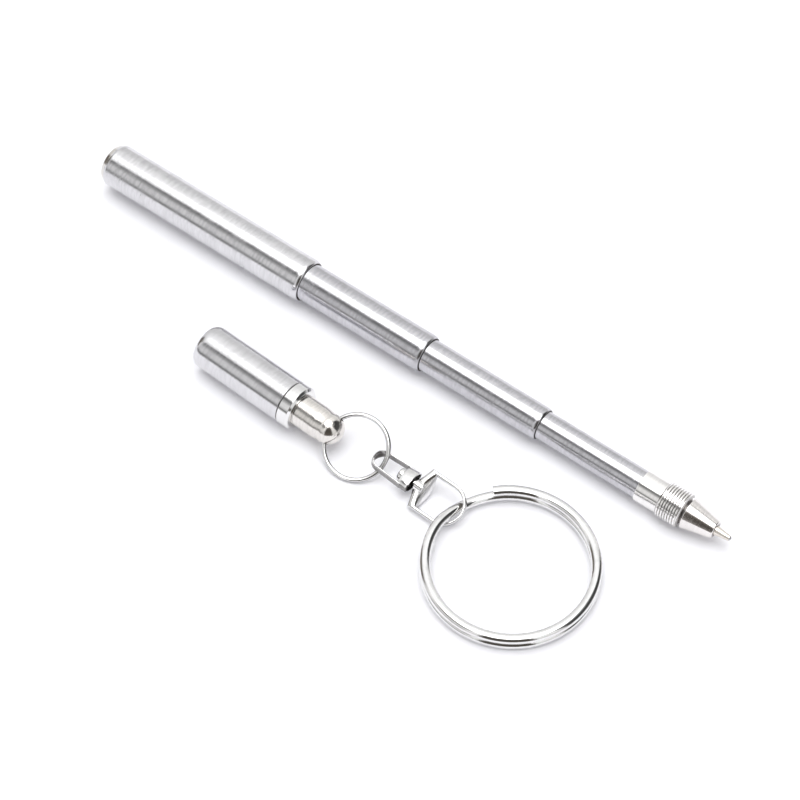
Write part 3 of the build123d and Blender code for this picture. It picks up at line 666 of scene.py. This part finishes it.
cone = stairs(REFILL_HOLE, SOCKET_REAR, STUD_R, THREAD_FRONT, RELIEF_R, CONE_REAR, CONE_R)
cone += stairs(CONE_FRONT_R, CONE_FRONT, POINT_HOLE, SHOULDER, REFILL_HOLE)
cone = rounded(cone, {5: CONE_REAR_ROUND, 6: CONE_FRONT_ROUND})
piece("nose_cone", "front", "cone_chrome", pen, (turned(cone), True, True))

# %% Point and ball
BALL_R, BALL_ROOM = 0.35, 0.01
POINT_R, RIM_PLACE, RIM_R, RIM_ROUND = 0.75, 115.02, 0.42, 0.05
INK_REAR, INK_FRONT, INK_R, BODY_R, FEED_R = 106.9, 109.9, 0.84, 1.15, 0.2
SOCKET_FROM, SOCKET_TO, SOCKET_STEPS = 20, 152, 20
SMALL_AROUND, BALL_STEPS = 96, 49

socket = np.radians(np.linspace(SOCKET_FROM, SOCKET_TO, SOCKET_STEPS))
socket_r = BALL_R + BALL_ROOM
socket = np.stack([BALL_PLACE + socket_r * np.cos(socket), socket_r * np.sin(socket)], axis=-1)
point = stairs(FEED_R, INK_REAR, INK_R, INK_FRONT, BODY_R, SHOULDER, POINT_R)
point += [(CONE_FRONT, POINT_R), *stairs(RIM_R, RIM_PLACE, socket_r)]
point = rounded(point, {7: RIM_ROUND}, closed=False)
point = np.vstack([point, socket[socket[:, 0] < RIM_PLACE]])
piece("refill_tip", "front", "point_metal", pen, (turned(point, SMALL_AROUND), True, True))

turn = np.linspace(0, np.pi, BALL_STEPS)
ball = np.stack([BALL_PLACE - BALL_R * np.cos(turn), BALL_R * np.sin(turn)], axis=-1)
piece("writing_ball", "ball", "ball_carbide", pen, (turned(ball, SMALL_AROUND), False, True))

# %% [markdown]
# ## The cap
# The cap is a short tube with its mouth rolled in, a threaded sleeve pressed inside, a polished band that
# closes it and a finial with a cross hole. Where tube and band meet, both edges are broken, which leaves a
# fine dark line. The finial is the only piece that isn't all turned: its hole is drilled across, so it is
# cut out of the turned shape with a Boolean, as on the bench.

# %% Cap tube
CAP_LENGTH, CAP_R, CAP_BORE = 16.7, 3.5, 3.15
MOUTH_R, MOUTH_LIP, MOUTH_ROLL = 2.85, 0.7, 1.3
LINE_WIDTH, LINE_DEPTH = 0.12, 0.24

cap_tube = [(MOUTH_ROLL, CAP_R), (CAP_LENGTH - LINE_WIDTH, CAP_R)]
cap_tube += stairs(CAP_R - LINE_DEPTH, CAP_LENGTH, CAP_BORE, MOUTH_LIP, MOUTH_R)
cap_tube = rounded([*cap_tube, (0, MOUTH_R)], closed=False)
cap_tube = np.vstack([cap_tube, rolled_in(0, -MOUTH_ROLL, CAP_R, MOUTH_R)[-2:0:-1]])
# The line between tube and band is a real groove, and the cap's finish adds painted shade at its root.
piece("cap_tube", "cap", "cap_steel", cap, (turned(cap_tube), True, True))

# %% Nut
NUT_REAR, NUT_FRONT, NUT_R, NUT_BORE = 4.9, 9.3, 3.14, 2.8
NUT_DEPTH, NUT_EASE = 0.2, 0.05

nut = rounded(stairs(NUT_BORE, NUT_REAR, NUT_R, NUT_FRONT, NUT_BORE))
inner = np.linspace(NUT_FRONT - EDGE, NUT_REAR + EDGE, THREAD_ROWS + 20)[:, None]
nut_wall = (NUT_R + NUT_BORE) / 2
nut = np.vstack([nut[nut[:, 1] > nut_wall], np.hstack([inner, 0 * inner + NUT_BORE])])
nut_groove = thread_groove(NUT_REAR + NUT_EASE, NUT_FRONT - NUT_EASE, -NUT_DEPTH)


def nut_swell(place, angle):
    """The same groove cut outwards, on the bore only."""
    return nut_groove(place, angle) * (nut[:, 1:] < nut_wall)


piece("cap_nut", "cap", "nut_brass", cap, (turned(nut, swell=nut_swell), True, True))

# %% Band
BAND_FRONT, BAND_REAR, BAND_CHAMFER = 18.8, 14.4, 0.35
BAND_SPIGOT_R, STEM_HOLE = 3.14, 2.2
BAND_ROUND, BAND_FRONT_ROUND = 0.12, 0.08

band = stairs(STEM_HOLE, BAND_REAR, BAND_SPIGOT_R, CAP_LENGTH, CAP_R - LINE_DEPTH)
band += [(CAP_LENGTH + LINE_WIDTH, CAP_R), (BAND_FRONT - BAND_CHAMFER, CAP_R)]
band += stairs(CAP_R - BAND_CHAMFER, BAND_FRONT, STEM_HOLE)
band = rounded(band, {5: BAND_ROUND, 6: BAND_FRONT_ROUND})
piece("cap_band", "cap", "band_chrome", cap, (turned(band), True, True))

# %% Finial
STEM_R, STEM_BORE, STEM_END = 2.19, 1.6, 17.55
NECK_R, NECK_END, DOME_START = 2.5, 22.2, 100
NECK_ROUND, NECK_END_ROUND = 0.1, 0.3
HOLE_R, HOLE_HALF = 0.8, 4.0

dome = np.radians(np.linspace(DOME_START, 0, 40))
dome = np.stack([DOME_PLACE + DOME_R * np.cos(dome), DOME_R * np.sin(dome)], axis=-1)
neck = stairs(0, STEM_END, STEM_BORE, BAND_REAR, STEM_R, BAND_FRONT, NECK_R)
neck += [(NECK_END, NECK_R), tuple(dome[0])]
neck = rounded(neck, {5: NECK_ROUND, 6: NECK_END_ROUND}, closed=False)
neck_and_dome = turned(np.vstack([neck, dome[1:]]))
finial = piece("cap_finial", "cap", "finial_nickel", cap, (neck_and_dome, False, True))

# %% Cross hole
HOLE_AROUND = 64
bit = np.array(stairs(0, -HOLE_HALF, HOLE_R, HOLE_HALF, 0))
bit = stood(turned(bit, HOLE_AROUND), stand(eye, eye_axis, cap_axis))
drill = in_scene("drill", mesh_of("drill", [(bit, False, True)]))
cut = finial.modifiers.new("cross_hole", "BOOLEAN")
cut.object, cut.operation, cut.solver = drill, "DIFFERENCE", "EXACT"
bpy.context.view_layer.update()
drilled = bpy.data.meshes.new_from_object(finial.evaluated_get(bpy.context.evaluated_depsgraph_get()))
finial.modifiers.clear()
finial.data = drilled
drilled.shade_smooth()
drilled.set_sharp_from_angle(angle=SHARP_ANGLE)
bpy.data.objects.remove(drill)
print("finial drilled:", len(drilled.polygons), "faces")

# %% [markdown]
# ## Wire pieces
# The link ring and the split ring are wire, so each is a section carried along a path. The link ring is a
# plain circle with its two ends meeting in the finial's hole. The split ring is nearly two turns of flat
# oval wire, one on the other, and between its two ends the wire climbs from the lower turn to the upper
# one, which is where a key is threaded on.

# %% Wire along a path
END_ROUND, END_SIZES = 0.06, (0, 0.8, 0.95)
UP = np.array([0.0, 0.0, 1.0])


def wire(path, out, half_width, half_height, around=40):
    """Oval section (out times cosine, up times sine) carried along a path; three end rows close it flat."""
    angle = np.linspace(0, 2 * np.pi, around, endpoint=False)[None, :, None]
    size = np.ones(len(path))
    size[[0, 1, 2]], size[[-1, -2, -3]] = END_SIZES, END_SIZES
    section = half_width * np.cos(angle) * out[:, None] + half_height * np.sin(angle) * UP
    return path[:, None] + size[:, None, None] * section


def with_ends(values, length):
    """Places along a wire with two more at each end, for its flat face and the round beside it."""
    step = END_ROUND / length * (values[-1] - values[0]) / 3
    first, last = values[0], values[-1]
    return np.concatenate([[first, first, first + step], values[1:-1], [last - step, last, last]])


def outwards(turn):
    """Unit direction at each angle: cosine, sine and no height."""
    return np.stack([np.cos(turn), np.sin(turn), 0 * turn], axis=-1)


# %% Link ring
LINK_WIRE_R, LINK_SPLIT, LINK_STEPS = 0.35, 4.0, 240
turn = np.radians(np.linspace(LINK_SPLIT / 2, 360 - LINK_SPLIT / 2, LINK_STEPS))
out = outwards(with_ends(turn, 2 * np.pi * LINK_R))
hoop = wire(LINK_R * out, out, LINK_WIRE_R, LINK_WIRE_R)
piece("link_ring", "link", "link_chrome", link, (hoop, False, True))

# %% Key ring
RING_R, RING_START, RING_END, RING_CLIMB = 12.2, 25.0, 687.5, 21.0
RING_HALF_WIDTH, RING_HALF_HEIGHT, RING_BOTTOM, RING_STEPS = 0.8, 0.66, -1.21, 900
degrees = with_ends(np.linspace(RING_START, RING_END, RING_STEPS), 4 * np.pi * RING_R)
share = np.clip((degrees - 360 + RING_CLIMB) / (2 * RING_CLIMB), 0, 1)
height = RING_BOTTOM + RING_HALF_HEIGHT * (1 + 2 * (3 * share**2 - 2 * share**3))
out = outwards(np.radians(degrees))
coil = wire(RING_R * out + height[:, None] * UP, out, RING_HALF_WIDTH, RING_HALF_HEIGHT)
piece("key_ring", "ring", "ring_chrome", ring, (coil, False, True))

# %% [markdown]
# ## The swivel
# The swivel's two loops are cast: a narrow one that hangs on the link ring and a wide one, shaped like a D,
# that holds the split ring. A loop lies between an inner and an outer outline, so its surface is a soft
# square section stretched from one outline to the other and carried round. The wide loop's base swells
# down and is scooped out inside, which shows as a pale lens. The hubs are thicker, and are separate shells
# in the same mesh. The narrow loop's arms end inside its hub, so the hole for the rivet stays open.

# %% Loop between two outlines
def outline(*runs, count=48):
    """Outline from runs, without its end point: a straight run is two points, and an arc is its
    centre, its radius and its start and end angle."""
    made = []
    share = np.linspace(0, 1, count, endpoint=False)
    for run in runs:
        if len(run) == 2:
            made.append(np.outer(1 - share, run[0]) + np.outer(share, run[1]))
        else:
            centre, radius, start, end = run
            turn = np.radians(start + (end - start) * share)
            made.append(np.asarray(centre) + radius * outwards(turn)[:, :2])
    return np.vstack(made)


def loop_surface(inside, outside, height, square, lean=0.0, around=48):
    """Section between two outlines: cosine and sine to a power below one give a square with soft corners, and
    lean moves its lower inner edge along X."""
    angle = np.linspace(0, 2 * np.pi, around, endpoint=False)[None, :]
    wide = np.sign(np.cos(angle)) * np.abs(np.cos(angle)) ** square
    tall = np.sign(np.sin(angle)) * np.abs(np.sin(angle)) ** square
    middle, half = (inside + outside) / 2, (outside - inside) / 2
    flat = middle[:, None] + half[:, None] * wide[..., None]
    flat[..., 0] += np.broadcast_to(lean, len(inside))[:, None] * (1 - wide) * (1 - tall) / 4
    lift = np.broadcast_to(height, len(inside))[:, None] / 2 * tall
    return np.concatenate([flat, lift[..., None]], axis=-1)


# %% Shackle
S_LONG, S_END, S_BASE, S_BAR, S_HUB = 7.3, 1.82, 2.05, 0.42, 1.7
S_HEIGHT, S_HUB_HALF, S_HOLE, S_INSET, S_CUP = 1.1, 1.3, 0.66, 0.3, 0.9
S_END_SWELL, S_SQUARE = 0.5, 0.8
hub_rear, arm_end = S_LONG - S_HUB, S_LONG - S_CUP - S_INSET


def shackle_side(end_half, base_half):
    """Far arm, round end and near arm, for one side of the small loop's bar; both arms end in the hub."""
    side = outline(
        ((arm_end, base_half), (S_END, end_half)),
        ((S_END, 0), end_half, 90, 270),
        ((S_END, -end_half), (arm_end, -base_half)),
    )
    return np.vstack([side, [(arm_end, -base_half)]])


def capped(grid):
    """Grid whose first and last row are each drawn together to their middle, which closes both ends."""
    first, last = (np.broadcast_to(row.mean(axis=0), (1, *row.shape)) for row in (grid[0], grid[-1]))
    return np.concatenate([first, grid, last])


inner, outer = shackle_side(S_END - S_BAR, S_BASE - S_BAR), shackle_side(S_END, S_BASE)
end_share = np.clip((S_END - inner[:, 0]) / (S_END - S_BAR), 0, 1)
arms = loop_surface(inner, outer, S_HEIGHT + S_END_SWELL * end_share, S_SQUARE)
print("shackle arms:", arms.shape[0], "rows of", arms.shape[1])

# %% Hub of the shackle
HUB_STEP, HUB_ROUND = 0.02, 0.12
HUB_SHARES = (0.90, 0.97, 1.0, 1.0, 0.98, 0.94, 0.86, 0.82, 0.0, 0.0)


def oval_hub(start, end, half_side, half_height, hole, cup):
    """Drum with an oval outside, a round hole and a hollow front: rows, each with its share of the full
    oval, go over its rear, along it, over the rim, down into the cup and back through the hole."""
    angle = np.linspace(0, 2 * np.pi, SMALL_AROUND, endpoint=False)[None, :]
    rear, front = (start, start + HUB_STEP, start + HUB_ROUND), (end - HUB_ROUND, end - HUB_STEP)
    place = np.array([*rear, *front, end, end, end - cup, end - cup, start])[:, None]
    grow = np.array(HUB_SHARES)[:, None]
    inside = (grow == 0) * hole
    side, tall = grow * half_side + inside, grow * half_height + inside
    return np.stack([place + 0 * angle, side * np.cos(angle), tall * np.sin(angle)], axis=-1)


hub = oval_hub(hub_rear, S_LONG, S_BASE, S_HUB_HALF, S_HOLE, S_CUP)
shells = (capped(arms), False, True), (hub, True, True)
piece("swivel_shackle", "shackle", "swivel_chrome", shackle, *shells, look="shackle_chrome")

# %% Rivet
HEAD_REAR, HEAD_FRONT, SHANK_END = 4.74, 5.54, 8.5
HEAD_R, SHANK_R, HEAD_DOME, HEAD_EDGE = 1.05, 0.6, 0.4, 0.1
rivet = stairs(0, HEAD_REAR, HEAD_R, HEAD_FRONT, SHANK_R, SHANK_END, 0)
rivet = rounded(rivet, {1: HEAD_DOME, 2: HEAD_EDGE}, closed=False, steps=10)
piece("swivel_rivet", "bow", "swivel_chrome", shackle, (turned(rivet, SMALL_AROUND), False, True))

# %% Bow
B_LONG, B_HALF, B_BAR, B_END_BAR = 7.6, 3.3, 0.68, 0.46
B_BACK, B_BASE, B_HOLLOW = 0.9, 1.15, 0.6
B_HEIGHT, B_SWELL, B_SCOOP, B_SQUARE = 1.05, 1.2, 1.1, 0.7
BOSS_R, BOSS_EDGE, BOSS_FRONT_ROUND, SEAT_R, SEAT_END_X = 0.85, 0.1, 0.2, 0.61, -0.1
bend, in_half = B_LONG - B_HALF, B_HALF - B_BAR
inner_bend = B_LONG - B_END_BAR - in_half
hollow_r = (in_half**2 + B_HOLLOW**2) / (2 * B_HOLLOW)
hollow = np.degrees(np.arcsin(in_half / hollow_r))
third = hollow / 3
hollow_middle = (B_BASE - B_HOLLOW + hollow_r, 0)
outer = outline(
    ((0, B_HALF), (bend, B_HALF)),
    ((bend, 0), B_HALF, 90, -90),
    ((bend, -B_HALF), (0, -B_HALF)),
    ((0, -B_HALF), (-B_BACK, -BOSS_R)),
    ((-B_BACK, -BOSS_R), (-B_BACK, BOSS_R)),
    ((-B_BACK, BOSS_R), (0, B_HALF)),
)
inner = outline(
    ((B_BASE, in_half), (inner_bend, in_half)),
    ((inner_bend, 0), in_half, 90, -90),
    ((inner_bend, -in_half), (B_BASE, -in_half)),
    (hollow_middle, hollow_r, 180 + hollow, 180 + third),
    (hollow_middle, hollow_r, 180 + third, 180 - third),
    (hollow_middle, hollow_r, 180 - third, 180 - hollow),
)
base_part = np.arange(len(inner)) >= len(inner) // 2
arch = base_part * np.clip(1 - (inner[:, 1] / in_half) ** 2, 0, 1)
swell = B_SWELL * arch
strip = loop_surface(inner, outer, B_HEIGHT + swell, B_SQUARE, lean=B_SCOOP * arch)
strip[..., 2] -= swell[:, None] / 2
boss = stairs(0, SEAT_END_X, SEAT_R, -B_BACK, BOSS_R, B_BASE - B_HOLLOW, 0)
boss = rounded(boss, {3: BOSS_EDGE, 4: BOSS_FRONT_ROUND}, closed=False)
boss = turned(boss, SMALL_AROUND)
piece("swivel_bow", "bow", "swivel_chrome", bow, (strip, True, True), (boss, False, True))

# %% [markdown]
# ## Hidden pieces
# The friction sleeves and the ink tube are inside the tubes and show only when the pen is taken apart.
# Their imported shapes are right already, so they only get their finish.

# %% Finish for the hidden nodes
hidden = {body + "_tube_sleeve": "sleeve_bronze" for body in ("second", "third", "front")}
hidden["refill_tube"] = "refill_plastic"
for node, slot in hidden.items():
    shape = frame["nodes"][node]
    shape.data.materials.clear()
    shape.data.materials.append(finish[slot])
print("hidden nodes finished:", len(hidden))

# %% [markdown]
# ## Table, light and camera
# Polished metal shows little of its own colour: it shows the room. So the light is drawn with care.
# A product tent could be built from panels and lamps; here the world does it, as a colour for each
# direction. High up is a wide soft panel, the far side is bright paper, the left side has a dim gap under
# the panel, a narrow dim corner stands between them, and the right side and the side where the viewer
# stands are dark. The table is a large white sheet under a plain level of light. A little of its white is
# its own, shown to the viewer and in reflections but not as light, so the sheet is white and the shadow at
# the contact lines stays.

# %% Directions seen by the viewer
VIEW_RIGHT, VIEW_AWAY = np.array([0.801, 0.599, 0.0]), np.array([-0.599, 0.801, 0.0])


def heading_at(degrees):
    """Level direction at an angle from straight away, growing to the right."""
    turn = np.radians(degrees)
    return VIEW_AWAY * np.cos(turn) + VIEW_RIGHT * np.sin(turn)


# %% Table
TABLE_HALF, TABLE_DROP = 3.0, 2e-5
OWN_WHITE, OWN_TINT = 0.075, (0.94, 0.94, 1.0, 1)
PALE, PALER, TOOTH = (0.92, 0.92, 0.95), (0.94, 0.94, 0.97), 900.0


def table_paper():
    """White paper: pale and diffuse with a faint tooth, and a little white of its own for the viewer and for
    reflections."""
    plain = {"Roughness": 0.9, "Specular_IOR_Level": 0.0, "Emission_Color": OWN_TINT}
    made, tree, skin = blank("white_table_paper", **plain)
    spot = node_in(tree, "ShaderNodeTexCoord")
    tooth = node_in(tree, "ShaderNodeTexNoise", Scale=TOOTH)
    tree.links.new(spot.outputs["Object"], tooth.inputs["Vector"])
    tree.links.new(mixed(tree, tooth.outputs[0], PALE, PALER), skin.inputs["Base Color"])
    path = node_in(tree, "ShaderNodeLightPath")
    seen = joined(tree, "ADD", path.outputs["Is Camera Ray"], path.outputs["Is Glossy Ray"])
    seen = joined(tree, "ADD", seen, path.outputs["Is Transmission Ray"])
    tree.links.new(scaled(tree, seen, OWN_WHITE), skin.inputs["Emission Strength"])
    return made


corners = np.array([[[-1, -1, 0], [1, -1, 0]], [[-1, 1, 0], [1, 1, 0]]], float) * TABLE_HALF
corners[..., 2] = cad_box[0][2] - TABLE_DROP
table = in_scene("table", mesh_of("table", [(corners, False, False)]))
table.data.materials.append(table_paper())
table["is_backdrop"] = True

# %% [markdown]
# The world is mixed from sides: bright paper all round, then the darker things that stand in it. Each has
# a heading, the angles within which it is full and beyond which it is gone, and a list of elevations with
# their brightness. The bright gaps between the dark sides break the streaks on the rings and the dome.
# A viewer who looks past the table's edge sees plain white. The metal goes on showing the tent, because a
# mirror in an even white room would look like grey paint.

# %% Sides of the tent
PANEL = 3.9
BROWN = np.array([1.0, 0.90, 0.80])
paper = [(-5, 0.9), (8, 0.84), (19, 0.84), (30, 0.91), (47, 1.12), (63, 1.3), (70, PANEL)]
left = [(-3, 0.85), (4, 0.50), (8, 0.12), (13, 0.55), (22, 0.82), (36, 0.80)]
left += [(46, 0.42), (54, 0.16), (60, 0.38)]
right = [(-3, 0.9), (6, 0.45), (13, 0.09), (45, 0.06), (56, 0.25), (64, 1.0)]
near = [(-3, 0.8), (5, 0.12 * BROWN), (40, 0.08 * BROWN), (56, 0.14 * BROWN), (64, 0.8)]
corner = [(-3, 0.7), (2, 0.2 * BROWN), (33, 0.2 * BROWN), (42, 0.8), (52, 1.1), (63, 1.3)]
sides = [(-112, 20, 28, left), (88, 30, 40, right), (182, 24, 31, near), (-60, 9, 18, corner)]


def side_ramp(tree, height, stops):
    """Light for each elevation on one side: stops of (degrees, brightness), read by the sine of elevation."""
    ramp = node_in(tree, "ShaderNodeValToRGB")
    ramp.color_ramp.interpolation = "EASE"
    marks = ramp.color_ramp.elements
    while len(marks) < len(stops):
        marks.new(0.5)
    for mark, (elevation, grey) in zip(marks, stops):
        mark.position = 0.5 + 0.5 * np.sin(np.radians(elevation))
        mark.color = (*np.broadcast_to(grey, 3), 1)
    tree.links.new(height, ramp.inputs[0])
    return ramp.outputs[0]


def towards(tree, heading, degrees, within, beyond):
    """Share of a side: the cosine between the ray's level heading and the side's, eased between angles."""
    dot = node_in(tree, "ShaderNodeVectorMath", operation="DOT_PRODUCT")
    dot.inputs[1].default_value = tuple(heading_at(degrees))
    tree.links.new(heading, dot.inputs[0])
    return eased(tree, dot.outputs["Value"], np.cos(np.radians(beyond)), np.cos(np.radians(within)))


# %% World
world = bpy.data.worlds.new("product_tent")
bpy.context.scene.world = world
world.use_nodes = True
sky = world.node_tree
ray = node_in(sky, "ShaderNodeTexCoord")
parts = node_in(sky, "ShaderNodeSeparateXYZ")
level_ray = node_in(sky, "ShaderNodeVectorMath", operation="MULTIPLY")
level_ray.inputs[1].default_value = (1, 1, 0)
heading = node_in(sky, "ShaderNodeVectorMath", operation="NORMALIZE")
sky.links.new(ray.outputs["Generated"], parts.inputs[0])
sky.links.new(ray.outputs["Generated"], level_ray.inputs[0])
sky.links.new(level_ray.outputs[0], heading.inputs[0])
height = scaled(sky, parts.outputs["Z"], 0.5, 0.5)
light = side_ramp(sky, height, paper)
for degrees, within, beyond, stops in sides:
    share = towards(sky, heading.outputs[0], degrees, within, beyond)
    light = mixed(sky, share, light, side_ramp(sky, height, stops + paper[-1:]))
path = node_in(sky, "ShaderNodeLightPath")
light = mixed(sky, path.outputs["Is Camera Ray"], light, (1, 1, 1))
sky.links.new(light, sky.nodes["Background"].inputs["Color"])
print("world nodes:", len(sky.nodes))

# %% [markdown]
# The camera looks down on the set from the nose's side, with a long lens, so that the tubes taper little in
# the picture. Its target is told from the pen's rear end, and so the pen keeps its place in the frame.

# %% Camera
TARGET_AHEAD, TARGET_NEARER = 61.906, 7.287
VIEW_ELEVATION, VIEW_DISTANCE, LENS, SENSOR = 55.0, 0.3726, 112.5, 36.0
target = np.array([pen_rear[0] + MM * TARGET_AHEAD, pen_rear[1] - MM * TARGET_NEARER, 0.0])
tilt = np.radians(VIEW_ELEVATION)
spot = target + VIEW_DISTANCE * (np.sin(tilt) * UP - np.cos(tilt) * VIEW_AWAY)
camera = in_scene("camera", bpy.data.cameras.new("camera"))
camera.data.lens, camera.data.sensor_width = LENS, SENSOR
camera.data.clip_start = 0.01
camera.location = spot.tolist()
camera.rotation_euler = Vector((target - spot).tolist()).to_track_quat("-Z", "Y").to_euler()
bpy.context.scene.camera = camera
bpy.context.scene.view_settings.view_transform = "Standard"
print("camera at", np.round(spot / MM, 1))

# %% Size and finish
seen_box = [list(corner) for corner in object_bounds()]
for label, (low, high) in (("solids", cad_box), ("dressed", seen_box)):
    print(label, "size in mm:", np.round(np.subtract(high, low) / MM, 2))
